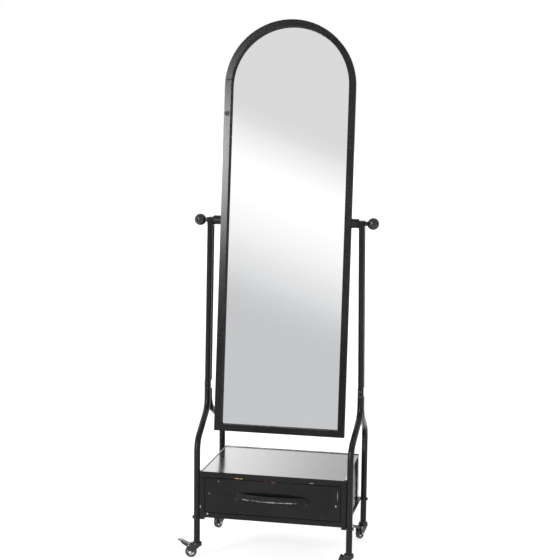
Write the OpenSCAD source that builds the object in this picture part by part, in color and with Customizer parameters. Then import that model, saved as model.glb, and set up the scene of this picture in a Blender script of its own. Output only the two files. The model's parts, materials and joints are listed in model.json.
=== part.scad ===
// Cheval floor mirror on a wheeled iron stand with one drawer.
// Millimetres. +Z is up, the front faces -Y, and the origin is on the floor,
// in the middle of the four legs.

/* [Mirror] */
// Outer width of the arched mirror frame
mirror_w = 440; // [380:5:460]
// Height of the frame above the pivot
mirror_up = 668; // [560:2:720]
// Height of the frame below the pivot
mirror_down = 706; // [560:2:760]
// Width of the frame's front face
frame_face = 21.5; // [18:0.5:26]
// Depth of the frame from front to back
frame_depth = 22; // [20:1:28]
// How far the glass lies behind the frame's front face
glass_recess = 18; // [10:1:18]
// Thickness of the glass
glass_t = 4; // [2:0.5:4]
// How far the mirror leans back at rest, in degrees
rest_tilt = 6.3; // [0:0.1:15]

/* [Posts and legs] */
// Height of the pivot above the floor
pivot_z = 1117; // [1060:1:1200]
// Distance of the posts' heads and of the casters from the middle plane
leg_x = 256; // [252:1:270]
// How much further out the couplings stand than the heads and the casters
post_splay = 7; // [0:1:12]
// Distance of the lower legs from the middle, front and back
leg_y = 168; // [150:1:190]
// Outer diameter of the upper post tubes
post_d = 19; // [17:0.5:20]
// Outer diameter of the lower leg tubes
leg_d = 21; // [20:0.5:21.5]
// Centre distance of the two tubes of a post
twin_spacing = 22; // [22:0.5:26]
// Centre-line radius of the bends in the lower legs
bend_r = 61; // [45:1:70]
// Angle by which the lower legs swing out
bend_angle = 62; // [50:1:68]
// Height at which the lower legs start to swing out
bend_top_z = 515; // [480:1:525]
// Height of the lower end of the legs
leg_end_z = 57.5; // [56:0.5:62]
// Height of the lower end of the coupling
coupler_z = 538; // [530:1:560]
// Visible height of the coupling
coupler_h = 30; // [26:1:36]
// Diameter of the ball knobs
knob_d = 40; // [28:1:42]

/* [Cabinet] */
// Width of the cabinet's front frame
cabinet_w = 490; // [460:1:490]
// Height of the cabinet's bottom edge
cabinet_z0 = 142; // [130:1:160]
// Height of the cabinet's top sheet
cabinet_z1 = 298; // [285:1:320]
// Front face of the cabinet, measured from the middle
cabinet_front = 177; // [170:1:185]
// Back face of the cabinet, measured from the middle
cabinet_back = 158; // [140:1:160]
// Height of the rolled rim on the top sheet
rim_d = 3; // [2.5:0.5:6]
// Width of the stiles beside the drawer
stile_w = 17; // [14:1:20]
// Height of the rail above the drawer
top_rail_h = 19; // [16:1:24]
// Height of the rail under the drawer
bottom_rail_h = 17; // [14:1:20]
// Gap all round the drawer front
drawer_gap = 2; // [1:0.5:3]

/* [Handle] */
// Distance between the handle's outer rivets
handle_w = 234; // [180:2:260]
// Height of the handle's bowed bar
handle_h = 20; // [14:1:24]
// How far the bar's middle stands off the drawer
handle_stand = 17; // [14:1:24]

/* [Casters] */
// Wheel diameter
wheel_d = 38; // [36:0.5:38]
// Wheel width
wheel_w = 15; // [12:0.5:16]
// Distance from the swivel axis to the wheel's axle
trail = 20; // [18:0.5:22]

/* [Hidden] */
$fn = 64;
iron = [0.16, 0.16, 0.16];
light_metal = [0.72, 0.72, 0.70];
rubber = [0.08, 0.08, 0.08];

sheet = 1.5;
wall = 2;
post_bore = 16;
leg_bore = 19;
stud_d = 10;
run_gap = 0.05;
head_w = 20;
head_below = 20;
head_above = 10;
head_z = pivot_z - head_below;
coupler_top = coupler_z + coupler_h;
coupler_x = leg_x + post_splay;
post_lean = atan(post_splay / (head_z - coupler_top));
post_len = (head_z - coupler_top) / cos(post_lean);
boss_d = 31;
washer_t = 1;
boss_end = leg_x - head_w / 2 - washer_t - 2 * run_gap;

// Mirror frame, measured backwards from the pivot axis
face_n = -frame_depth / 2;
glass_n = face_n + glass_recess;
back_n = glass_n + glass_t;
board_t = 3;
glass_inset = 12;

// Lower leg: the swing is an S of two arcs with a straight stretch between
swing_y = leg_y - twin_spacing / 2;
swing = norm([swing_y, post_splay]);
leg_fan = atan(post_splay / swing_y);
slant = (swing - 2 * bend_r * (1 - cos(bend_angle))) / sin(bend_angle);
swing_drop = 2 * bend_r * sin(bend_angle) + slant * cos(bend_angle);
bend_low_z = bend_top_z - swing_drop;

// Cabinet
body_x = cabinet_w / 2 - 5;
open_x = cabinet_w / 2 - stile_w;
open_z0 = cabinet_z0 + bottom_rail_h;
open_z1 = cabinet_z1 - top_rail_h;
drawer_x = open_x - drawer_gap;
drawer_z0 = open_z0 + drawer_gap;
drawer_z1 = open_z1 - drawer_gap;
front_y = -cabinet_front;
frame_flange = 16;
pan_depth = 14;
rail_w = 15.5;
rail_h = 8;
bolt_d = 5;
bolt_z = cabinet_z0 - rail_h / 2;
tray_x = open_x - 14;
tray_z0 = drawer_z0 + 5;
tray_z1 = drawer_z1 - 22;
tray_back = cabinet_back - 16;
runner_z = (cabinet_z0 + cabinet_z1) / 2 - 10;
runner_h = 21;
guide_gap = 0.5;
crease_z = drawer_z0 + 65;
crease_w = 1.2;
handle_z = drawer_z0 + 62;
rivet_z = drawer_z0 + 51;

// Casters
axle_z = wheel_d / 2;
axle_d = 6;
tyre_t = 4;
housing_d = 33;
arm_gap = 2;
arm_t = 2.5;
brake_x = trail + 6;
brake_z = axle_z + 23;
brake_pin_d = 4;
stem_d = 8;
CASTERS = ["front_left", "front_right", "rear_left", "rear_right"];
SIDE_X = [-1, 1, -1, 1];
SIDE_Y = [-1, -1, 1, 1];
// Direction in which each wheel trails, in degrees about +Z from +X
TRAIL_A = [180, 180, 246, 246];

// ---------- shared shapes ----------

module tube(len, od, id) {
    difference() {
        cylinder(d = od, h = len);
        translate([0, 0, -1]) cylinder(d = id, h = len + 2);
    }
}

module rod_arc(r, angle, d) {
    rotate_extrude(angle = angle) translate([r, 0]) circle(d = d);
}

// A box given by its low and high corners
module span(low, high) {
    translate(low) cube(high - low);
}

// A cylinder along +X from x0 to x1 at the given y and z
module rod_x(d, x0, x1, y = 0, z = 0) {
    translate([x0, y, z]) rotate([0, 90, 0]) cylinder(d = d, h = x1 - x0);
}

// A cylinder along +Y from y0 to y1 at the given x and z
module rod_y(d, y0, y1, x = 0, z = 0) {
    translate([x, y0, z]) rotate([-90, 0, 0]) cylinder(d = d, h = y1 - y0);
}

// ---------- posts ----------

// Turns a shape that stands on Z to the lean of a post
module leaning(sx) {
    rotate([0, -sx * post_lean, 0]) children();
}

module post_tube(sx, sy) {
    end_gap = 0.25;
    color(iron) translate([sx * coupler_x, sy * twin_spacing / 2, coupler_top]) leaning(sx)
        translate([0, 0, end_gap]) tube(post_len - 2 * end_gap, post_d, post_bore);
}

// Block on top of a pair of post tubes, bored for the knob's stud
module pivot_head(sx) {
    chamfer = 1.5;
    plug_h = 22;
    height = head_below + head_above;
    color(iron) translate([sx * leg_x, 0, 0]) difference() {
        union() {
            for (sy = [-1, 1]) translate([0, sy * twin_spacing / 2, head_z]) {
                cylinder(d = head_w, h = height - chamfer);
                translate([0, 0, height - chamfer])
                    cylinder(d1 = head_w, d2 = head_w - 2 * chamfer, h = chamfer);
                leaning(sx) translate([0, 0, -plug_h])
                    cylinder(d = post_bore - 0.1, h = plug_h + 2);
            }
            translate([0, twin_spacing / 2, head_z]) rotate([90, 0, 0])
                linear_extrude(twin_spacing) polygon([
                    [-head_w / 2, 0], [head_w / 2, 0],
                    [head_w / 2, height - chamfer],
                    [head_w / 2 - chamfer, height],
                    [chamfer - head_w / 2, height],
                    [-head_w / 2, height - chamfer]
                ]);
        }
        rod_x(stud_d + 2 * run_gap, -head_w, head_w, 0, pivot_z);
    }
}

coupler_bolt_z = [coupler_z + 7.5, coupler_z + coupler_h - 7.5];
coupler_bolt_d = 6;
nut_h = 6;
nut_face = twin_spacing / 2 + leg_d / 2;

// Coupling between a post's two upper tubes and its two lower legs
module post_coupler(sx) {
    rear_neck_d = 13;
    plug = 34;
    web_t = 9;
    color(iron) translate([sx * coupler_x, 0, 0]) difference() {
        union() {
            for (sy = [-1, 1]) translate([0, sy * twin_spacing / 2, 0]) {
                translate([0, 0, coupler_z - plug / 2])
                    cylinder(d = leg_bore - 0.1, h = plug / 2);
                translate([0, 0, coupler_top]) leaning(sx) translate([0, 0, -1])
                    cylinder(d = post_bore - 0.1, h = plug + 1);
                translate([0, 0, coupler_z])
                    cylinder(d = sy < 0 ? leg_d : rear_neck_d, h = coupler_h);
            }
            span([-web_t / 2, -twin_spacing / 2, coupler_z],
                 [web_t / 2, twin_spacing / 2, coupler_top]);
        }
        for (z = coupler_bolt_z) rod_y(coupler_bolt_d + 0.1, -40, 40, 0, z);
    }
}

// Bolts through the couplings, with round heads at the back
module coupler_bolts() {
    head_d = 10;
    color(iron) for (sx = [-1, 1], z = coupler_bolt_z) {
        rod_y(coupler_bolt_d, -nut_face - nut_h, twin_spacing / 2 + 6.5, sx * coupler_x, z);
        rod_y(head_d, twin_spacing / 2 + 6.5, twin_spacing / 2 + 10, sx * coupler_x, z);
    }
}

// Domed cap nuts on the front ends of the coupler bolts
module coupler_cap_nuts() {
    across = 14;
    color(iron) for (sx = [-1, 1], z = coupler_bolt_z)
        translate([sx * coupler_x, -nut_face, z]) rotate([90, 0, 0]) difference() {
            union() {
                cylinder(d = across + 0.6, h = 1.5);
                cylinder(d = across, h = nut_h, $fn = 6);
                translate([0, 0, nut_h]) cylinder(d = across - 2.4, h = 3.5);
                translate([0, 0, nut_h + 3.5]) intersection() {
                    sphere(d = across - 2.4);
                    cylinder(d = across, h = across);
                }
            }
            translate([0, 0, -1]) cylinder(d = coupler_bolt_d + 0.05, h = nut_h + 2);
        }
}

// A lower leg's course as one solid, lengthened by extra at both ends. Each straight
// stretch stops just short of its bend, and a weld bead joins the two.
module leg_course(d, extra = 0) {
    gap = 0.5;
    low_end = [bend_r * (1 - cos(bend_angle)), bend_low_z + bend_r * sin(bend_angle), 0];
    high_end = low_end + slant * [sin(bend_angle), cos(bend_angle), 0];
    rotate([90, 0, 90]) union() {
        translate([0, leg_end_z - extra, 0]) rotate([-90, 0, 0])
            cylinder(d = d, h = bend_low_z - leg_end_z + extra - gap);
        translate([bend_r, bend_low_z, 0]) rotate([0, 0, 180 - bend_angle])
            rod_arc(bend_r, bend_angle, d);
        translate(low_end) rotate([0, 0, -bend_angle]) rotate([-90, 0, 0])
            translate([0, 0, gap]) cylinder(d = d, h = slant - 2 * gap);
        translate([swing - bend_r, bend_top_z, 0]) rotate([0, 0, -bend_angle])
            rod_arc(bend_r, bend_angle, d);
        translate([swing, bend_top_z + gap, 0]) rotate([-90, 0, 0])
            cylinder(d = d, h = coupler_z - bend_top_z + extra - gap);
        translate([0, bend_low_z, 0]) weld_bead(d, 0);
        translate(low_end) weld_bead(d, bend_angle);
        translate(high_end) weld_bead(d, bend_angle);
        translate([swing, bend_top_z, 0]) weld_bead(d, 0);
    }
}

module weld_bead(d, angle) {
    rotate([0, 0, -angle]) rotate([-90, 0, 0])
        cylinder(d = d + 0.4, h = 2.5, center = true);
}

// One lower leg: a tube straight up from the caster, then an S towards the middle
module lower_leg(sx, sy) {
    color(iron) translate([sx * leg_x, sy * leg_y, 0])
        mirror([0, sy > 0 ? 1 : 0, 0]) difference() {
            rotate([0, 0, -sx * leg_fan]) difference() {
                leg_course(leg_d);
                leg_course(leg_bore, 1);
            }
            rod_x(bolt_d + 0.1, -leg_d, leg_d, 0, bolt_z);
        }
}

// ---------- cabinet ----------

// Section of the rolled rim, with its outer side on the Y axis
module rim_section() {
    square([rim_d, sheet + rim_d / 2]);
    translate([rim_d / 2, sheet + rim_d / 2]) circle(d = rim_d);
}

// Top sheet with a rolled rim along both sides and the back
module cabinet_top() {
    low_z = cabinet_z1 - sheet;
    top_front = front_y + wall;
    corner_r = rim_d + 2;
    side_l = cabinet_back - corner_r - top_front;
    in_x = body_x - corner_r;
    color(iron) union() {
        span([-body_x + rim_d, top_front, low_z],
             [body_x - rim_d, cabinet_back - corner_r, cabinet_z1]);
        span([-in_x, top_front, low_z], [in_x, cabinet_back - rim_d, cabinet_z1]);
        translate([-body_x, cabinet_back - corner_r, low_z]) rotate([90, 0, 0])
            linear_extrude(side_l) rim_section();
        translate([body_x, top_front, low_z]) rotate([90, 0, 180])
            linear_extrude(side_l) rim_section();
        translate([in_x, cabinet_back, low_z]) rotate([90, 0, -90])
            linear_extrude(2 * in_x) rim_section();
        for (sx = [-1, 1]) translate([sx * in_x, cabinet_back - corner_r, low_z]) {
            rotate([0, 0, sx > 0 ? 0 : 90]) rotate_extrude(angle = 90)
                translate([corner_r, 0]) mirror([1, 0]) rim_section();
            cylinder(r = corner_r - 1, h = sheet);
        }
    }
}

module cabinet_side(sx) {
    inner = body_x - sheet;
    color(iron) span([sx > 0 ? inner : -body_x, front_y + wall, cabinet_z0],
                     [sx > 0 ? body_x : -inner, cabinet_back, cabinet_z1 - sheet]);
}

module cabinet_back_panel() {
    x = body_x - sheet;
    color(iron) span([-x, cabinet_back - sheet, cabinet_z0 + sheet],
                     [x, cabinet_back, cabinet_z1 - sheet]);
}

module cabinet_bottom() {
    x = body_x - sheet;
    color(iron) span([-x, front_y + wall, cabinet_z0], [x, cabinet_back, cabinet_z0 + sheet]);
}

// Folded sheet frame round the drawer: a flat face with its outer edges turned back
module cabinet_front_frame() {
    x = cabinet_w / 2;
    in_x = body_x + 0.2;
    color(iron) difference() {
        span([-x, front_y, cabinet_z0], [x, front_y + frame_flange, cabinet_z1]);
        span([-open_x, front_y - 1, open_z0],
             [open_x, front_y + frame_flange + 1, open_z1]);
        span([sheet - x, front_y + wall, cabinet_z0 + sheet],
             [x - sheet, front_y + frame_flange + 1, cabinet_z1 - sheet]);
        span([-in_x, front_y + wall, cabinet_z0 - 1],
             [in_x, front_y + frame_flange + 1, cabinet_z1 + 1]);
    }
}

// Bar under each side of the cabinet, bolted to the front and rear legs
module side_rail(sx) {
    outer = leg_x - leg_d / 2;
    end_y = leg_y + 8;
    color(iron) difference() {
        span([sx > 0 ? outer - rail_w : -outer, -end_y, cabinet_z0 - rail_h],
             [sx > 0 ? outer : rail_w - outer, end_y, cabinet_z0]);
        for (sy = [-1, 1])
            rod_x(bolt_d, sx * outer - rail_w - 1, sx * outer + rail_w + 1,
                  sy * leg_y, bolt_z);
    }
}

// Bolts through the legs into the side rails
module leg_bolts() {
    head_d = 11;
    head_h = 4;
    tip = leg_x - leg_d / 2 - rail_w + 2;
    face = leg_x + leg_d / 2;
    color(iron) for (sx = [-1, 1], sy = [-1, 1]) mirror([sx < 0 ? 1 : 0, 0, 0]) {
        rod_x(bolt_d, tip, face, sy * leg_y, bolt_z);
        difference() {
            rod_x(head_d, face - 1, face + head_h, sy * leg_y, bolt_z);
            translate([leg_x, sy * leg_y, bolt_z - head_d])
                cylinder(d = leg_d, h = 2 * head_d);
        }
    }
}

// Channels in which the drawer runs, held off the cabinet's sides by a foot at each end
module drawer_guides() {
    x0 = tray_x + 5;
    x1 = body_x - sheet;
    lip = 3;
    foot_l = 25;
    z0 = runner_z - runner_h / 2 - guide_gap;
    z1 = runner_z + runner_h / 2 + guide_gap;
    y0 = front_y + frame_flange + 1;
    color(light_metal) for (sx = [-1, 1]) mirror([sx < 0 ? 1 : 0, 0, 0]) difference() {
        span([x0, y0, z0 - lip], [x1, tray_back, z1 + lip]);
        span([x0 - 1, y0 - 1, z0], [open_x, tray_back + 1, z1]);
        span([open_x + wall, y0 + foot_l, z0 - lip - 1],
             [x1 + 1, tray_back - foot_l, z1 + lip + 1]);
    }
}

// Plugs in the ends of the legs that hold the caster stems
module caster_sockets() {
    plug_h = 32;
    flange_h = 2;
    color(rubber) for (i = [0:3])
        translate([SIDE_X[i] * leg_x, SIDE_Y[i] * leg_y, leg_end_z]) difference() {
            union() {
                cylinder(d = leg_bore - 0.1, h = plug_h);
                translate([0, 0, -flange_h]) cylinder(d = leg_d, h = flange_h);
            }
            translate([0, 0, -flange_h - 1])
                cylinder(d = stem_d + 2 * run_gap, h = plug_h);
        }
}

// Washers between the post heads and the mirror's bosses
module friction_washers() {
    x0 = boss_end + run_gap;
    color(rubber) for (sx = [-1, 1]) mirror([sx < 0 ? 1 : 0, 0, 0]) difference() {
        rod_x(boss_d - 3, x0, x0 + washer_t, 0, pivot_z);
        rod_x(stud_d + 0.3, x0 - 1, x0 + washer_t + 1, 0, pivot_z);
    }
}

// ---------- mirror ----------

// Everything on the mirror is drawn upright round the pivot, then leaned back
module tilted() {
    translate([0, 0, pivot_z]) rotate([-rest_tilt, 0, 0]) children();
}

// Arched outline, moved inwards by inset from the frame's outer edge
module arch(inset) {
    w = mirror_w / 2 - inset;
    translate([0, mirror_up - mirror_w / 2]) circle(r = w, $fn = 128);
    translate([-w, inset - mirror_down])
        square([2 * w, mirror_down - inset + mirror_up - mirror_w / 2]);
}

// A flat shape given depth, from n0 to n1 behind the pivot axis
module plate(n0, n1) {
    rotate([90, 0, 0]) translate([0, 0, -n1]) linear_extrude(n1 - n0) children();
}

// Where the back board's screws go: [x, height], inset from the frame's edge
lug_inset = 6.75;
lug_x = mirror_w / 2 - lug_inset;
arch_z = mirror_up - mirror_w / 2;
SCREWS = concat(
    [for (sx = [-1, 1], z = [-620, -380, -130, 130, 380]) [sx * lug_x, z]],
    [for (a = [30, 90, 150]) [lug_x * cos(a), arch_z + lug_x * sin(a)]],
    [for (sx = [-1, 1]) [sx * 100, lug_inset - mirror_down]]
);

// Channel-shaped iron frame: face, outer wall and inner wall, open at the back
module mirror_frame() {
    color(iron) tilted() difference() {
        union() {
            difference() {
                plate(face_n, back_n) arch(0);
                plate(face_n - 1, back_n + 1) arch(frame_face);
                plate(face_n + wall, back_n + 1) difference() {
                    arch(wall);
                    arch(frame_face - wall);
                }
                plate(glass_n, back_n + 1) arch(frame_face - wall - 1);
            }
            for (p = SCREWS) plate(back_n - 8, back_n) translate(p) circle(d = 9.6);
        }
        for (p = SCREWS) plate(back_n - 7, back_n + 1) translate(p) circle(d = 3);
    }
}

module mirror_glass() {
    color([0.85, 0.87, 0.88]) tilted() plate(glass_n, back_n) arch(glass_inset);
}

module mirror_back_board() {
    color([0.1, 0.1, 0.1]) tilted() difference() {
        plate(back_n, back_n + board_t) arch(1);
        for (p = SCREWS)
            plate(back_n - 1, back_n + board_t + 1) translate(p) circle(d = 3.2);
    }
}

module back_board_screws() {
    top = back_n + board_t;
    color(light_metal) tilted() for (p = SCREWS) {
        plate(back_n - 6, top) translate(p) circle(d = 2.9);
        difference() {
            plate(top, top + 2) translate(p) circle(d = 7);
            plate(top + 1, top + 3) translate(p) square([5, 1], center = true);
        }
    }
}

// Cylinder welded to the side of the frame, tapped for the knob's stud
module pivot_boss(sx) {
    color(iron) tilted() mirror([sx < 0 ? 1 : 0, 0, 0]) difference() {
        rod_x(boss_d, mirror_w / 2, boss_end);
        rod_x(stud_d + 2 * run_gap, mirror_w / 2 - 1, boss_end + 1);
    }
}

// ---------- knobs ----------

knob_x = leg_x + head_w / 2 + 0.1;
neck_d = 15;
neck_l = 8;
ball_x = knob_x + neck_l + knob_d / 2 - 1.5;

module knob(sx) {
    color(iron) translate([0, 0, pivot_z]) mirror([sx < 0 ? 1 : 0, 0, 0]) difference() {
        union() {
            translate([ball_x, 0, 0]) rotate([0, 90, 0]) sphere(d = knob_d);
            rod_x(neck_d, knob_x, ball_x);
        }
        rod_x(stud_d, knob_x - 1, ball_x);
    }
}

module knob_stud(sx) {
    color(light_metal) translate([0, 0, pivot_z]) mirror([sx < 0 ? 1 : 0, 0, 0])
        rod_x(stud_d, mirror_w / 2 + 2, ball_x);
}

// ---------- drawer ----------

// Shallow folded pan with a pressed crease along its face
module drawer_front() {
    color(iron) difference() {
        span([-drawer_x, front_y, drawer_z0], [drawer_x, front_y + pan_depth, drawer_z1]);
        span([sheet - drawer_x, front_y + wall, drawer_z0 + sheet],
             [drawer_x - sheet, front_y + pan_depth + 1, drawer_z1 - sheet]);
        span([-drawer_x - 1, front_y - 1, crease_z - crease_w / 2],
             [drawer_x + 1, front_y + crease_w / 2, crease_z + crease_w / 2]);
    }
}

module drawer_tray() {
    y0 = front_y + pan_depth;
    color(iron) difference() {
        span([-tray_x, y0, tray_z0], [tray_x, tray_back, tray_z1]);
        span([sheet - tray_x, y0 + sheet, tray_z0 + sheet],
             [tray_x - sheet, tray_back - sheet, tray_z1 + 1]);
    }
}

module drawer_runners() {
    color(light_metal) for (sx = [-1, 1]) mirror([sx < 0 ? 1 : 0, 0, 0])
        span([tray_x, front_y + frame_flange + 3, runner_z - runner_h / 2],
             [open_x - guide_gap, tray_back - 2, runner_z + runner_h / 2]);
}

tab_t = 2.5;
handle_t = 5;

// Bowed strap with tapered ends that turn down into riveted tabs
module drawer_handle() {
    half = handle_w / 2;
    end_h = 0.325 * handle_h;
    end_x = half - 4;
    sag = handle_stand + handle_t / 2 - tab_t / 2;
    bow_r = (end_x * end_x + sag * sag) / (2 * sag);
    bow_a = asin(half / bow_r);
    color(iron) union() {
        intersection() {
            translate([0, front_y - handle_stand - handle_t / 2 + bow_r, handle_z])
                rotate([0, 0, -90 - bow_a]) rotate_extrude(angle = 2 * bow_a, $fn = 128)
                    translate([bow_r, 0]) {
                        square([handle_t, handle_h - handle_t], center = true);
                        for (s = [-1, 1]) translate([0, s * (handle_h - handle_t) / 2])
                            circle(d = handle_t);
                    }
            translate([0, front_y, handle_z]) rotate([90, 0, 0])
                linear_extrude(handle_stand + 2 * handle_t) polygon([
                    [-half, -end_h], [-half + 24, -handle_h / 2], [half - 24, -handle_h / 2],
                    [half, -end_h], [half, end_h], [half - 24, handle_h / 2],
                    [-half + 24, handle_h / 2], [-half, end_h]
                ]);
        }
        for (sx = [-1, 1]) difference() {
            union() {
                rod_y(13, front_y - tab_t, front_y, sx * half, rivet_z);
                rod_y(12, front_y - tab_t, front_y, sx * (half - 2), handle_z);
                span([sx * (half - 1) - 6, front_y - tab_t, rivet_z],
                     [sx * (half - 1) + 6, front_y, handle_z]);
            }
            rod_y(4, front_y - tab_t - 1, front_y + 1, sx * half, rivet_z);
        }
    }
}

module handle_rivets() {
    color(iron) for (sx = [-1, 1]) {
        x = sx * handle_w / 2;
        rod_y(3.9, front_y - tab_t, front_y, x, rivet_z);
        intersection() {
            translate([x, front_y - tab_t + 1.5, rivet_z]) sphere(d = 7.5);
            rod_y(10, front_y - tab_t - 6, front_y - tab_t, x, rivet_z);
        }
    }
}

// ---------- casters ----------

// Puts a caster's shapes under its leg: +X is the way the wheel trails
module at_caster(i) {
    translate([SIDE_X[i] * leg_x, SIDE_Y[i] * leg_y, 0]) rotate([0, 0, TRAIL_A[i]])
        children();
}

function has_brake(i) = i == 0 || i == 3;

fork_x = wheel_w / 2 + arm_gap;
crown_z = 41;
crown_h = 13.5;

// Swivel housing with its stem, and the two arms that carry the wheel
module caster_fork(i) {
    arm_tip = 7;
    edge_r = 5;
    color(iron) at_caster(i) difference() {
        union() {
            translate([0, 0, crown_z]) rotate_extrude() union() {
                square([housing_d / 2 - edge_r, crown_h]);
                square([housing_d / 2, crown_h - edge_r]);
                translate([housing_d / 2 - edge_r, crown_h - edge_r]) circle(r = edge_r);
            }
            translate([0, 0, crown_z + crown_h - 1])
                cylinder(d = stem_d, h = leg_end_z + 26 - crown_z - crown_h);
            for (s = [-1, 1])
                translate([0, s > 0 ? fork_x + arm_t : -fork_x, 0]) rotate([90, 0, 0])
                    linear_extrude(arm_t) union() {
                        polygon([
                            [-9, crown_z + 3], [-13, crown_z], [trail - 6, axle_z - 4],
                            [trail + 6, axle_z - 4], [trail + 11, crown_z - 5],
                            [trail + 11, crown_z + 3]
                        ]);
                        translate([trail, axle_z]) circle(r = arm_tip);
                        translate([brake_x, brake_z]) circle(r = 5);
                    }
            span([-12, -fork_x - arm_t, crown_z], [12, fork_x + arm_t, crown_z + 3]);
        }
        rod_y(axle_d, -fork_x - 2 * arm_t, fork_x + 2 * arm_t, trail, axle_z);
        if (has_brake(i))
            rod_y(brake_pin_d, -fork_x - 2 * arm_t, fork_x + 2 * arm_t, brake_x, brake_z);
    }
}

// Headed pins: the wheel's axle, and the brake's pin where there is one
module caster_pins(i) {
    reach = fork_x + arm_t;
    head_h = 1.5;
    color(light_metal) at_caster(i) {
        rod_y(axle_d, -reach, reach, trail, axle_z);
        for (s = [-1, 1])
            rod_y(axle_d + 3, s > 0 ? reach : -reach - head_h,
                  s > 0 ? reach + head_h : -reach, trail, axle_z);
        if (has_brake(i)) rod_y(brake_pin_d, -reach, reach, brake_x, brake_z);
    }
}

// Wheel centre with a raised rim ring and a recessed web on both faces
module caster_hub(i) {
    r = wheel_d / 2 - tyre_t;
    color(light_metal) at_caster(i) translate([trail, 0, axle_z]) rotate([90, 0, 0])
        difference() {
            cylinder(r = r, h = wheel_w - 1, center = true);
            for (s = [0, 1]) mirror([0, 0, s]) translate([0, 0, wheel_w / 2 - 3])
                difference() {
                    cylinder(r = r - 3, h = wheel_w);
                    cylinder(r = 5.5, h = wheel_w);
                }
            cylinder(d = axle_d + 2 * run_gap, h = 2 * wheel_w, center = true);
        }
}

module caster_tyre(i) {
    r = wheel_d / 2;
    edge = 2;
    half = wheel_w / 2;
    color(rubber) at_caster(i) translate([trail, 0, axle_z]) rotate([90, 0, 0])
        rotate_extrude() polygon([
            [r - tyre_t, -half], [r - edge, -half], [r, edge - half],
            [r, half - edge], [r - edge, half], [r - tyre_t, half]
        ]);
}

// Foot lever: a deep body with a flat tread at its tip and a shoe that presses on the tyre
module brake_pedal(i) {
    half_w = fork_x - 1;
    eye_d = 8;
    color(light_metal) at_caster(i) difference() {
        union() {
            rod_y(eye_d, -half_w, half_w, brake_x, brake_z);
            translate([brake_x, half_w, brake_z]) rotate([90, 0, 0])
                linear_extrude(2 * half_w) polygon([
                    [0, 3], [14, 9.5], [27, 15.5], [38.5, 17], [39, 14.5], [29, 12.5],
                    [25, 5], [13, -2.5], [8.5, -5], [6, -5.5], [0, -2.5]
                ]);
        }
        rod_y(brake_pin_d + 2 * run_gap, -2 * half_w, 2 * half_w, brake_x, brake_z);
    }
}

// ---------- assembly ----------

post_tube(-1, -1);  // left_front_post_tube
post_tube(-1, 1);  // left_rear_post_tube
post_tube(1, -1);  // right_front_post_tube
post_tube(1, 1);  // right_rear_post_tube
pivot_head(-1);  // left_pivot_head
pivot_head(1);  // right_pivot_head
post_coupler(-1);  // left_post_coupler
post_coupler(1);  // right_post_coupler
coupler_bolts();
coupler_cap_nuts();
lower_leg(-1, -1);  // left_front_leg
lower_leg(-1, 1);  // left_rear_leg
lower_leg(1, -1);  // right_front_leg
lower_leg(1, 1);  // right_rear_leg
cabinet_top();
cabinet_side(-1);  // cabinet_left_side
cabinet_side(1);  // cabinet_right_side
cabinet_back_panel();
cabinet_bottom();
cabinet_front_frame();
side_rail(-1);  // left_side_rail
side_rail(1);  // right_side_rail
leg_bolts();
drawer_guides();
caster_sockets();
friction_washers();
mirror_frame();
mirror_glass();
mirror_back_board();
back_board_screws();
pivot_boss(-1);  // left_pivot_boss
pivot_boss(1);  // right_pivot_boss
knob(-1);  // left_knob
knob(1);  // right_knob
knob_stud(-1);  // left_knob_stud
knob_stud(1);  // right_knob_stud
drawer_front();
drawer_tray();
drawer_handle();
handle_rivets();
drawer_runners();
for (i = [0:3]) {
    caster_fork(i);
    caster_hub(i);
    caster_tyre(i);
}
caster_pins(0);  // front_left_pins
caster_pins(1);  // front_right_axle
caster_pins(2);  // rear_left_axle
caster_pins(3);  // rear_right_pins
brake_pedal(0);  // front_left_brake_pedal
brake_pedal(3);  // rear_right_brake_pedal
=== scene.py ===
import json
import math

import bmesh
import bpy
from mathutils import Matrix, Vector


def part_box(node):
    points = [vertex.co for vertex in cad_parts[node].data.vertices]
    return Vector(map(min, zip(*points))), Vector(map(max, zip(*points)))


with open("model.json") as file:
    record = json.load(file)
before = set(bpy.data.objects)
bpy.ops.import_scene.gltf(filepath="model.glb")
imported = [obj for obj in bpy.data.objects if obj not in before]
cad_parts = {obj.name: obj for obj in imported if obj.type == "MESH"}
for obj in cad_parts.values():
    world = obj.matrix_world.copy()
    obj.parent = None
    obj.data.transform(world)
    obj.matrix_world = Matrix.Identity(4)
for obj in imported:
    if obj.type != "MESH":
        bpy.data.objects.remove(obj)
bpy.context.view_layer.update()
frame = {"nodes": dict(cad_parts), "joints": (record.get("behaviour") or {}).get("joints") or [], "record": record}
NODES = frame["nodes"]
SLOT = {s["node"]: s["material_slot"] for s in frame["record"]["subparts"]}
JOINT = {j["name"]: j for j in frame["joints"]}
CASTERS = ["front_left", "front_right", "rear_left", "rear_right"]

# How far the mirror leans back at rest
MIRROR_LEAN = math.radians(6.3)
# Just behind the cabinet's front face, so that scuffs stay on the front
FRONT_ZONE = -0.155


# ---------- node helpers ----------

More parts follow.
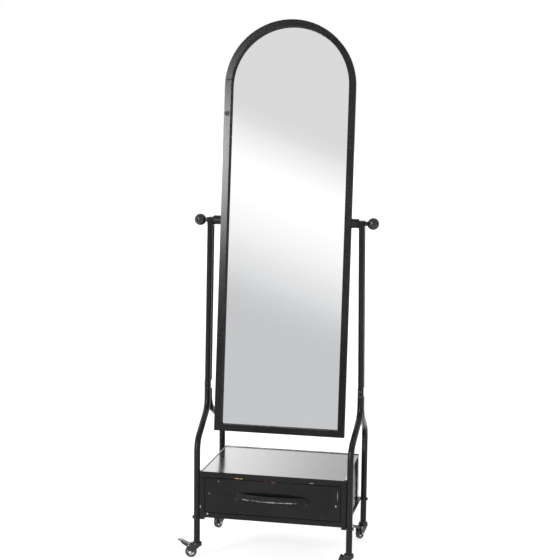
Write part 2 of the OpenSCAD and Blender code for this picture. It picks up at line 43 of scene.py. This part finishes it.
class Tree:
    """Short names for making and linking shader nodes."""

    def __init__(self, owner):
        owner.use_nodes = True
        self.nodes = owner.node_tree.nodes
        self.links = owner.node_tree.links
        self.nodes.clear()

    def put(self, socket, value):
        if value is None:
            return
        if isinstance(value, bpy.types.NodeSocket):
            self.links.new(value, socket)
        elif isinstance(value, (tuple, list, Vector)) and len(value) == 3 and socket.type == "RGBA":
            socket.default_value = (*value, 1.0)
        else:
            socket.default_value = value

    def new(self, kind, *inputs, **settings):
        n = self.nodes.new(kind)
        for k, v in settings.items():
            setattr(n, k, v)
        for i, v in enumerate(inputs):
            self.put(n.inputs[i], v)
        return n

    def math(self, op, a, b=None):
        return self.new("ShaderNodeMath", a, b, operation=op).outputs[0]

    def add(self, a, b):
        return self.math("ADD", a, b)

    def less(self, a, b):
        return self.math("SUBTRACT", a, b)

    def product(self, first, *rest):
        for factor in rest:
            first = self.math("MULTIPLY", first, factor)
        return first

    def vector(self, op, a, b=None):
        n = self.new("ShaderNodeVectorMath", a, b, operation=op)
        return n.outputs["Value" if op in ("DOT_PRODUCT", "LENGTH") else "Vector"]

    def remap(self, v, low, high, to_low=0.0, to_high=1.0, smooth=False):
        n = self.new("ShaderNodeMapRange", v, low, high, to_low, to_high)
        n.interpolation_type = "SMOOTHSTEP" if smooth else "LINEAR"
        return n.outputs[0]

    def plateau(self, v, start, full, fade, end, smooth=False):
        """1 from full to fade, falling to 0 at start and at end."""
        return self.product(self.remap(v, start, full, smooth=smooth),
                            self.remap(v, end, fade, smooth=smooth))

    def noise(self, at, scale, detail=3.0, rough=0.5, stretch=None):
        if stretch:
            at = self.new("ShaderNodeMapping", at).outputs[0]
            at.node.inputs["Scale"].default_value = stretch
        n = self.new("ShaderNodeTexNoise", noise_dimensions="3D")
        self.put(n.inputs["Vector"], at)
        self.put(n.inputs["Scale"], scale)
        self.put(n.inputs["Detail"], detail)
        self.put(n.inputs["Roughness"], rough)
        return n.outputs["Fac"]

    def mix(self, fac, a, b):
        n = self.new("ShaderNodeMix", data_type="RGBA")
        self.put(n.inputs[0], fac)
        self.put(n.inputs[6], a)
        self.put(n.inputs[7], b)
        return n.outputs[2]

    def blend(self, fac, a, b):
        n = self.new("ShaderNodeMix", data_type="FLOAT")
        self.put(n.inputs[0], fac)
        self.put(n.inputs[2], a)
        self.put(n.inputs[3], b)
        return n.outputs[0]

    def bump(self, height, distance, strength, normal=None):
        n = self.new("ShaderNodeBump")
        self.put(n.inputs["Height"], height)
        n.inputs["Distance"].default_value = distance
        n.inputs["Strength"].default_value = strength
        self.put(n.inputs["Normal"], normal)
        return n.outputs[0]

    def xyz(self, vector):
        return self.new("ShaderNodeSeparateXYZ", vector).outputs

    def place(self):
        return self.new("ShaderNodeTexCoord").outputs["Object"]

    def normal(self):
        return self.new("ShaderNodeNewGeometry").outputs["Normal"]


def shader(t, **inputs):
    p = t.new("ShaderNodeBsdfPrincipled")
    for k, v in inputs.items():
        t.put(p.inputs[k.replace("_", " ")], v)
    out = t.new("ShaderNodeOutputMaterial")
    t.links.new(p.outputs[0], out.inputs[0])


def material(name):
    m = bpy.data.materials.new(name)
    return m, Tree(m)


# ---------- lacquered iron ----------

def lacquer(name, dark, light, rough, wear=0.0, rub_and_highlight_color=(0.30, 0.28, 0.25), peel=0.06, vary=0.03,
            gloss=1.36, coat=0.0, veil=0.06, edge=None, painted_highlight=None, dull=None, shape=None,
            marks=(), marks_to=FRONT_ZONE):
    """Black lacquer over metal: slow colour drift, orange peel, pinholes and scuffs, and a painted highlight where
    one is given.

    rough, vary: roughness, and how far it wanders
    wear, worn: how strongly pinholes and rubbed places show, and the colour of these and of any painted highlight
    peel: strength of the orange peel
    gloss, coat, veil: index of refraction, weight of a clear coat, and the coat's roughness
    edge: width in metres over which sharp edges are rubbed
    extra, dull, shape: functions for a painted highlight in pale metal colour, for flat places, and for a bent
    normal
    marks, marks_to: scuffs as x, z, half width, half height, color, in front of y = marks_to"""
    m, t = material(name)
    at = t.place()
    drift = t.noise(at, 7.0)
    cloud = t.noise(at, 48.0, 5.0, 0.65)
    grain = t.noise(at, 500.0, 2.0)
    tone = t.add(t.product(drift, 0.6), t.product(cloud, 0.4))
    color = t.mix(t.remap(tone, 0.35, 0.65, smooth=True), dark, light)
    rub_and_highlight = t.remap(t.noise(at, 110.0, 6.0, 0.75), 0.74, 0.80, 0.0, wear)
    if edge:
        rounded = t.new("ShaderNodeBevel", edge, samples=6).outputs[0]
        turn = t.less(1.0, t.vector("DOT_PRODUCT", rounded, t.normal()))
        rub = t.product(t.remap(turn, 0.03, 0.15), t.remap(cloud, 0.52, 0.66, 0.0, wear))
        rub_and_highlight = t.math("MAXIMUM", rub_and_highlight, rub)
    # Painted highlight: pale metal colour laid where light catches an edge, mixed in with the real wear.
    if painted_highlight:
        rub_and_highlight = t.math("MAXIMUM", rub_and_highlight, painted_highlight(t, at, cloud))
    color = t.mix(rub_and_highlight, color, rub_and_highlight_color)
    for x, z, wide, high, tint in marks:
        spot = scuff(t, at, x, z, wide, high, marks_to)
        color = t.mix(spot, color, tint)
        rub_and_highlight = t.math("MAXIMUM", rub_and_highlight, t.product(spot, 0.6))
    finish = t.blend(t.remap(cloud, 0.35, 0.7), rough - vary, rough + vary)
    finish = t.blend(rub_and_highlight, finish, 0.42)
    if dull:
        finish = t.blend(dull(t), finish, 0.75)
    shader(t, Base_Color=color, Roughness=finish, Metallic=t.product(rub_and_highlight, 0.85),
           Normal=t.bump(grain, 0.00001, peel, shape(t, at) if shape else None),
           IOR=gloss, Coat_Weight=coat, Coat_Roughness=veil)
    return m


def scuff(t, at, x, z, wide, high, reach):
    """A ragged mark centred at x, z, on what lies in front of y = reach."""
    px, py, pz = t.xyz(at)
    u = t.math("DIVIDE", t.less(px, x), wide)
    v = t.math("DIVIDE", t.less(pz, z), high)
    far = t.math("SQRT", t.add(t.product(u, u), t.product(v, v)))
    ragged = t.add(far, t.product(t.noise(at, 260.0, 4.0, 0.7), 1.3))
    spot = t.remap(ragged, 1.75, 1.15, smooth=True)
    return t.product(spot, t.remap(py, reach + 0.005, reach - 0.005))


def handle_painted_highlight(t, at, cloud):
    """Painted highlight: a pale, patchy band of metal colour along the lower edge of the bar."""
    low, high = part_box("drawer_handle")
    x, y, z = t.xyz(at)
    reach = t.plateau(t.less(x, (low.x + high.x) / 2), -0.104, -0.096, 0.074, 0.088)
    wander = t.product(t.noise(at, 90.0, 3.0, 0.6), 0.006)
    band = t.remap(t.add(z, wander), low.z + 0.0155, low.z + 0.0120, smooth=True)
    patch = t.remap(t.noise(at, 62.0, 5.0, 0.7), 0.40, 0.50)
    return t.product(band, patch, reach, 0.9)


def rim_painted_highlight(t, at, cloud):
    """Painted highlight: a pale, patchy line of metal colour along the rolled rim."""
    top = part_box("cabinet_top")[1].z
    on_rim = t.remap(t.xyz(at)[2], top - 0.0026, top - 0.0014)
    return t.product(on_rim, t.remap(cloud, 0.3, 0.6, 0.45, 0.8))


def dished(t, at):
    """Normal of a side sheet that is slightly hollow and stands out a little more at the rear."""
    x, y, z = t.xyz(at)
    low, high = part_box("cabinet_right_side")
    across = t.math("DIVIDE", t.less(y, (low.y + high.y) / 2), (high.y - low.y) / 2)
    along = t.math("DIVIDE", t.less(z, (low.z + high.z) / 2), (high.z - low.z) / 2)
    hollow = t.product(t.less(1.0, t.product(across, across)), t.less(1.0, t.product(along, along)))
    return t.bump(t.less(t.product(y, 0.045), t.product(hollow, 0.003)), 1.0, 1.0)


def on_the_returns(t):
    """1 on sheet edges folded to face sideways."""
    return t.remap(t.math("ABSOLUTE", t.xyz(t.normal())[0]), 0.6, 0.8)


def off_the_face(t):
    """1 on the mirror frame's returns and back, which are dull, and 0 on its front face."""
    forward = (0.0, -math.cos(MIRROR_LEAN), math.sin(MIRROR_LEAN))
    return t.remap(t.vector("DOT_PRODUCT", t.normal(), forward), 0.9, 0.7)


# ---------- other materials ----------

def steel(name):
    """Zinc-plated steel with a fine grain and a few dull patches."""
    m, t = material(name)
    at = t.place()
    grain = t.noise(at, 220.0, 6.0, 0.7)
    patch = t.noise(at, 35.0, 3.0, 0.6)
    color = t.mix(t.remap(patch, 0.4, 0.7), (0.62, 0.62, 0.60), (0.41, 0.40, 0.37))
    shader(t, Base_Color=color, Metallic=1.0, Roughness=t.blend(t.remap(grain, 0.35, 0.7), 0.28, 0.46),
           Normal=t.bump(grain, 0.00001, 0.4))
    return m


def moulded(name, color, rough):
    """Moulded plastic or rubber with a fine stipple and a little dust."""
    m, t = material(name)
    at = t.place()
    stipple = t.noise(at, 1100.0, 3.0, 0.6)
    dust = t.noise(at, 60.0, 5.0, 0.7)
    pale = tuple(c + 0.03 for c in color)
    shader(t, Base_Color=t.mix(t.remap(dust, 0.45, 0.8), color, pale),
           Roughness=t.blend(dust, rough - 0.06, rough + 0.12), Normal=t.bump(stipple, 0.00002, 0.5))
    return m


def silvered():
    """Mirror glass: clean silvering, a trace of dust, a darker line along the cut edge."""
    m, t = material("silvered_glass")
    at = t.place()
    dust = t.noise(at, 14.0, 6.0, 0.7)
    speck = t.noise(at, 420.0, 2.0, 0.4)
    backward = (0.0, math.cos(MIRROR_LEAN), -math.sin(MIRROR_LEAN))
    side = t.math("ABSOLUTE", t.vector("DOT_PRODUCT", t.normal(), backward))
    face = t.remap(side, 0.6, 0.9)
    color = t.mix(face, (0.10, 0.16, 0.14), (0.935, 0.936, 0.94))
    color = t.mix(t.remap(speck, 0.76, 0.82, 0.0, 0.12), color, (0.75, 0.76, 0.76))
    shader(t, Base_Color=color, Metallic=face, Roughness=t.remap(dust, 0.45, 0.85, 0.0, 0.02), IOR=1.52)
    return m


def hardboard():
    """Painted hardboard with the fibre showing through."""
    m, t = material("painted_hardboard")
    at = t.place()
    fibre = t.noise(at, 260.0, 5.0, 0.75, stretch=(1.0, 1.0, 0.25))
    drift = t.noise(at, 5.0, 3.0, 0.6)
    color = t.mix(t.remap(drift, 0.3, 0.7), (0.018, 0.017, 0.016), (0.034, 0.031, 0.028))
    color = t.mix(t.remap(fibre, 0.55, 0.8, 0.0, 0.6), color, (0.060, 0.046, 0.034))
    shader(t, Base_Color=color, Roughness=t.blend(fibre, 0.55, 0.8), Normal=t.bump(fibre, 0.0001, 0.5))
    return m


def wheel_hub(caster):
    """Dark rim and axle cap with a bright web between them."""
    m, t = material("hub_" + caster)
    roll = JOINT[caster + "_wheel_roll"]
    at = t.place()
    out = t.vector("SUBTRACT", at, tuple(roll["pos_m"]))
    radius = t.vector("LENGTH", t.vector("CROSS_PRODUCT", out, tuple(roll["axis"])))
    fine = t.noise(at, 700.0, 4.0, 0.6)
    web = t.plateau(radius, 0.0062, 0.0068, 0.0116, 0.0120)
    color = t.mix(web, t.mix(fine, (0.012, 0.012, 0.012), (0.03, 0.03, 0.03)), (0.62, 0.62, 0.61))
    shader(t, Base_Color=color, Metallic=t.product(web, 0.9),
           Roughness=t.blend(web, 0.42, t.blend(fine, 0.18, 0.34)), Normal=t.bump(fine, 0.00001, 0.4))
    return m


def foot_lever():
    """Black pressed steel with a painted highlight: faces that point up turn pale metal in patches."""
    m, t = material("pedal_plate")
    at = t.place()
    up = t.xyz(t.normal())[2]
    fine = t.noise(at, 420.0, 4.0, 0.65)
    # Painted highlight: pale metal colour on faces that point up, where the light from above falls.
    upward_painted_highlight = t.product(t.remap(up, 0.5, 0.75), t.remap(t.noise(at, 150.0, 4.0, 0.6), 0.3, 0.45))
    color = t.mix(upward_painted_highlight, t.mix(fine, (0.008, 0.008, 0.008), (0.02, 0.02, 0.02)), (0.46, 0.46, 0.45))
    shader(t, Base_Color=color, Metallic=t.product(upward_painted_highlight, 0.9),
           Roughness=t.blend(upward_painted_highlight, 0.3, t.blend(fine, 0.3, 0.5)), Normal=t.bump(fine, 0.00002, 0.4))
    return m


# ---------- what is made of what ----------

BLACK = (0.004, 0.004, 0.004)
SOFT_BLACK = (0.0095, 0.009, 0.0088)
RUST = (0.20, 0.055, 0.03)
BRASS = (0.30, 0.21, 0.07)
BARE = (0.25, 0.245, 0.23)
GREY = (0.16, 0.15, 0.14)
BROWN = (0.17, 0.13, 0.10)
FACE_MARKS = [
    (-0.118, 0.282, 0.010, 0.0022, BRASS), (-0.103, 0.2815, 0.007, 0.0018, BRASS),
    (-0.020, 0.278, 0.014, 0.0016, RUST), (0.004, 0.277, 0.010, 0.0022, RUST),
    (0.131, 0.2825, 0.008, 0.0024, GREY), (0.060, 0.2785, 0.016, 0.0012, RUST),
    (-0.242, 0.178, 0.0022, 0.006, BARE), (-0.218, 0.155, 0.004, 0.004, BARE),
    (-0.180, 0.268, 0.003, 0.003, GREY), (0.212, 0.212, 0.0035, 0.004, BARE),
    (0.217, 0.246, 0.0018, 0.018, BROWN), (-0.212, 0.225, 0.002, 0.004, GREY),
]
FRAME_MARKS = [(-0.209, 1.472, 0.011, 0.010, SOFT_BLACK), (-0.207, 1.584, 0.020, 0.0032, SOFT_BLACK)]

SIDE_FINISH = lacquer("black_lacquer_side", (0.005, 0.005, 0.005), (0.010, 0.009, 0.009), 0.10,
                      peel=0.01, gloss=1.65, coat=1.0, shape=dished)
KNOB_FINISH = lacquer("black_lacquer_knob", BLACK, SOFT_BLACK, 0.17, wear=0.3, gloss=1.5)
NODE_FINISH = {
    "mirror_frame": lacquer("black_lacquer_frame", BLACK, SOFT_BLACK, 0.13, wear=0.15, peel=0.01,
                            vary=0.006, gloss=1.30, dull=off_the_face, marks=FRAME_MARKS,
                            marks_to=0.2),
    # The top's rim carries a painted highlight.
    "cabinet_top": lacquer("black_lacquer_top", (0.006, 0.006, 0.006), (0.011, 0.0105, 0.0105), 0.22,
                           wear=0.1, peel=0.004, gloss=1.44, coat=1.0, veil=0.15, painted_highlight=rim_painted_highlight),
    "cabinet_left_side": SIDE_FINISH,
    "cabinet_right_side": SIDE_FINISH,
    "left_knob": KNOB_FINISH,
    "right_knob": KNOB_FINISH,
}
for caster in CASTERS:
    NODE_FINISH[caster + "_hub"] = wheel_hub(caster)
SLOT_FINISH = {
    "black_iron": lacquer("black_lacquer_tube", BLACK, SOFT_BLACK, 0.22, wear=0.15, gloss=1.29),
    "cabinet_sheet": lacquer("black_lacquer_sheet", (0.003, 0.003, 0.003), (0.0074, 0.0072, 0.0072),
                             0.18, wear=0.5, rub_and_highlight_color=(0.20, 0.16, 0.12), peel=0.02, gloss=1.27,
                             dull=on_the_returns, marks=FACE_MARKS),
    # The handle carries a painted highlight along its lower edge.
    "handle_iron": lacquer("black_lacquer_handle", BLACK, SOFT_BLACK, 0.34, wear=0.6, gloss=1.25,
                           rub_and_highlight_color=(0.38, 0.365, 0.345), edge=0.0012, painted_highlight=handle_painted_highlight),
    "fastener_black": lacquer("blackened_fastener", (0.008, 0.008, 0.008), (0.02, 0.02, 0.02), 0.28,
                              wear=0.4),
    "caster_housing": lacquer("black_housing", BLACK, SOFT_BLACK, 0.2, wear=0.3, gloss=1.45),
    "bright_steel": steel("zinc_plate"),
    "mirror_glass": silvered(),
    "back_board": hardboard(),
    "washer_fibre": moulded("fibre_washer", (0.03, 0.028, 0.026), 0.7),
    "black_plastic": moulded("plastic_plug", (0.012, 0.012, 0.012), 0.45),
    "wheel_tyre": moulded("tyre_rubber", (0.014, 0.014, 0.014), 0.30),
    "pedal_steel": foot_lever(),
}
for name, obj in NODES.items():
    obj.data.materials.clear()
    obj.data.materials.append(NODE_FINISH.get(name) or SLOT_FINISH[SLOT[name]])


# ---------- studio ----------

# The bright band in front of the object: degrees above its lower edge, and brightness
BAND = [(0.0, 0.60), (2.9, 0.60), (3.6, 0.63), (4.3, 0.69), (4.9, 0.77), (5.6, 0.84), (6.3, 0.92),
        (7.0, 0.99), (8.4, 1.08), (9.8, 1.08), (10.4, 1.0), (11.1, 0.90), (11.8, 0.785),
        (12.4, 0.745), (16.0, 0.745)]
BAND_HEIGHT = BAND[-1][0]
BAND_SLOPE = 0.35
BAND_CENTRE = 11.5
# Round lamps: degrees to the left of the front, degrees up, inner and outer radius in degrees, power
ROUND_LAMPS = [(34.0, 29.0, 5.0, 8.0, 28.0), (-45.0, 22.0, 3.0, 6.0, 9.0)]
WINDOW_POWER = 60.0
REAR_POWER = 2.05


def band_color(degrees, value):
    """Slightly cool in the dim lower part of the band, neutral above it."""
    blue = 0.02 if degrees < 5 else 0.0
    return value, value * (1 + blue / 2), value * (1 + blue), 1


def front_band(t, up, left):
    """A band that climbs to the left, dim under it and pale grey over it."""
    rise = t.less(up, t.product(t.less(left, BAND_CENTRE), BAND_SLOPE))
    ramp = t.new("ShaderNodeValToRGB", t.remap(rise, 0.0, BAND_HEIGHT))
    elements = ramp.color_ramp.elements
    elements[0].color = band_color(*BAND[0])
    elements[1].color = band_color(*BAND[-1])
    for degrees, value in BAND[1:-1]:
        elements.new(degrees / BAND_HEIGHT).color = band_color(degrees, value)
    return ramp.outputs[0]


def studio_world():
    """Soft white studio: pale sky, a bright band in front, a bright rear corner, a window lamp and
    two round lamps. The camera itself sees plain white."""
    world = bpy.data.worlds.new("studio")
    bpy.context.scene.world = world
    t = Tree(world)
    way = t.new("ShaderNodeTexCoord").outputs["Generated"]
    x, y, z = t.xyz(way)
    degree = math.degrees(1)
    to_left = t.product(x, -1.0)
    up = t.product(t.math("ARCSINE", z), degree)
    left = t.product(t.math("ARCTAN2", to_left, t.product(y, -1.0)), degree)
    left_behind = t.product(t.math("ARCTAN2", to_left, y), degree)
    glow = t.remap(left_behind, 8.0, 15.5, 1.0, REAR_POWER, smooth=True)
    rear = t.blend(t.plateau(up, 7.0, 10.0, 24.0, 34.0, smooth=True), 1.0, glow)
    light = t.mix(t.remap(y, -0.25, 0.35, smooth=True), front_band(t, up, left), rear)
    window = t.product(t.remap(left, 14.28, 14.6), t.remap(left, 26.0, 23.0, smooth=True),
                       t.plateau(up, 5.6, 10.2, 12.0, 14.6, smooth=True), WINDOW_POWER)
    light = t.vector("ADD", light, window)
    for azimuth, elevation, inner, outer, power in ROUND_LAMPS:
        a, e = math.radians(azimuth), math.radians(elevation)
        middle = (-math.sin(a) * math.cos(e), -math.cos(a) * math.cos(e), math.sin(e))
        lamp = t.remap(t.vector("DOT_PRODUCT", way, middle), math.cos(math.radians(outer)),
                       math.cos(math.radians(inner)), 0.0, power, smooth=True)
        light = t.vector("ADD", light, lamp)
    seen = t.new("ShaderNodeLightPath").outputs["Is Camera Ray"]
    background = t.new("ShaderNodeBackground", t.mix(seen, light, (1.0, 1.0, 1.0)), 1.0)
    out = t.new("ShaderNodeOutputWorld")
    t.links.new(background.outputs[0], out.inputs[0])


def studio_floor():
    """Large pale floor that starts behind the camera and runs far behind the object."""
    side, near, far = 40, -6.5, 60
    bm = bmesh.new()
    corners = [(-side, near), (side, near), (side, far), (-side, far)]
    bm.faces.new([bm.verts.new((x, y, 0.0)) for x, y in corners])
    mesh = bpy.data.meshes.new("studio_floor")
    bm.to_mesh(mesh)
    bm.free()
    floor = bpy.data.objects.new("studio_floor", mesh)
    bpy.context.scene.collection.objects.link(floor)
    m, t = material("pale_floor")
    grain = t.noise(t.place(), 30.0)
    shader(t, Base_Color=t.mix(grain, (0.58, 0.58, 0.58), (0.61, 0.61, 0.61)), Roughness=0.9,
           Emission_Color=(1.0, 1.0, 1.0), Emission_Strength=0.60)
    mesh.materials.append(m)


def studio_camera():
    """In front of the object and to its right, 1.44 m up, looking a little down."""
    place = Vector((0.8168, -4.0484, 1.4418))
    heading, tilt, roll = (math.radians(a) for a in (11.64, 82.82, 0.62))
    cam = bpy.data.objects.new("camera", bpy.data.cameras.new("camera"))
    bpy.context.scene.collection.objects.link(cam)
    cam.data.lens = 80.15
    cam.data.sensor_width = 36.0
    cam.data.clip_end = 200.0
    turn = Matrix.Rotation(heading, 4, "Z") @ Matrix.Rotation(tilt, 4, "X") @ Matrix.Rotation(roll, 4, "Z")
    cam.matrix_world = Matrix.Translation(place) @ turn
    bpy.context.scene.camera = cam


bpy.context.scene.view_settings.view_transform = "Standard"
studio_world()
studio_floor()
studio_camera()
